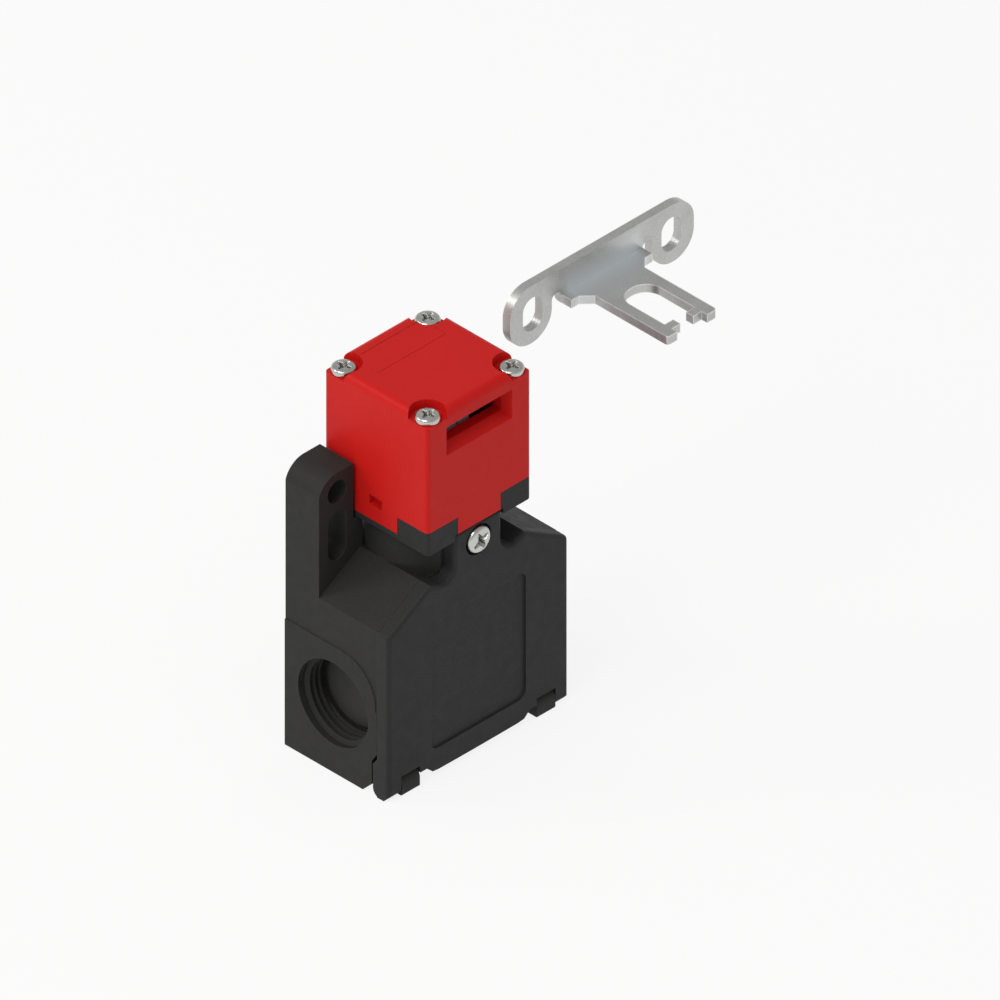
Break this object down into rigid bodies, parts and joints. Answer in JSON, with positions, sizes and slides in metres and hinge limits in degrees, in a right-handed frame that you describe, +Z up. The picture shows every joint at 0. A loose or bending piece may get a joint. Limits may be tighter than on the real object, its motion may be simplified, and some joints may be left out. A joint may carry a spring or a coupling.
{
  "type": "safety interlock switch",
  "caption": "Guard door interlock switch: hinged black housing with cable entries, red turning head with a key slot, and a separate stamped actuator key.",
  "frame": {"origin": "centre of the bottom face of the housing block", "axes": "+Z up to the red head, +X to the right as one faces the cover, +Y from the cover to the mounting face"},
  "size_m": [0.1072, 0.0371, 0.0902],
  "materials": {
    "housing_black": "fine spark-eroded moulded finish",
    "cover_black": "fine spark-eroded moulded finish",
    "head_red": "satin moulded finish",
    "steel_bright": "zinc plated and brightened",
    "steel_key": "stamped stainless steel, tumbled",
    "steel_dark": "sintered steel",
    "brass_contact": "nickel washed brass",
    "block_cream": "glass filled moulding",
    "mechanism_black": "moulded acetal",
    "seal_rubber": "soft nitrile"
  },
  "bodies": {
    "housing": {"base_housing": "housing_black", "cover_gasket": "seal_rubber", "head_flange": "cover_black", "head_housing": "head_red", "slot_plug": "head_red", "head_screws": "steel_bright", "drum_cradle": "mechanism_black", "drum_shaft": "steel_bright", "return_spring": "steel_bright", "plunger_bush": "brass_contact", "plunger_seal": "seal_rubber", "contact_block": "block_cream", "fixed_contacts": "brass_contact", "terminal_screws": "steel_bright", "block_screws": "steel_bright"},
    "cover": {"front_cover": "cover_black", "cover_screw": "steel_bright", "hinge_pins": "steel_bright"},
    "drum": {"key_drum": "mechanism_black", "drum_insert": "steel_dark"},
    "plunger": {"plunger": "mechanism_black", "contact_bridge": "brass_contact", "bridge_spring": "steel_bright"},
    "key": {"actuator_key": "steel_key"}
  },
  "joints": [
    {"name": "key_travel", "type": "slide", "parent": "housing", "child": "key", "axis": [0, -1, 0], "range_m": [0, 0.0083]},
    {"name": "drum_turn", "type": "hinge", "parent": "housing", "child": "drum", "pos_m": [0, -0.0003, 0.0746], "axis": [1, 0, 0], "range_deg": [-60, 0]},
    {"name": "plunger_travel", "type": "slide", "parent": "housing", "child": "plunger", "axis": [0, 0, 1], "range_m": [0, 0.0024]},
    {"name": "cover_hinge", "type": "hinge", "parent": "housing", "child": "cover", "pos_m": [0, -0.0128, 0.00235], "axis": [1, 0, 0], "range_deg": [0, 88]}
  ],
  "couplings": [
    {"joint": "drum_turn", "follows": "key_travel", "rad_per_m": -126.17},
    {"joint": "plunger_travel", "follows": "key_travel", "ratio": 0.28916}
  ]
}
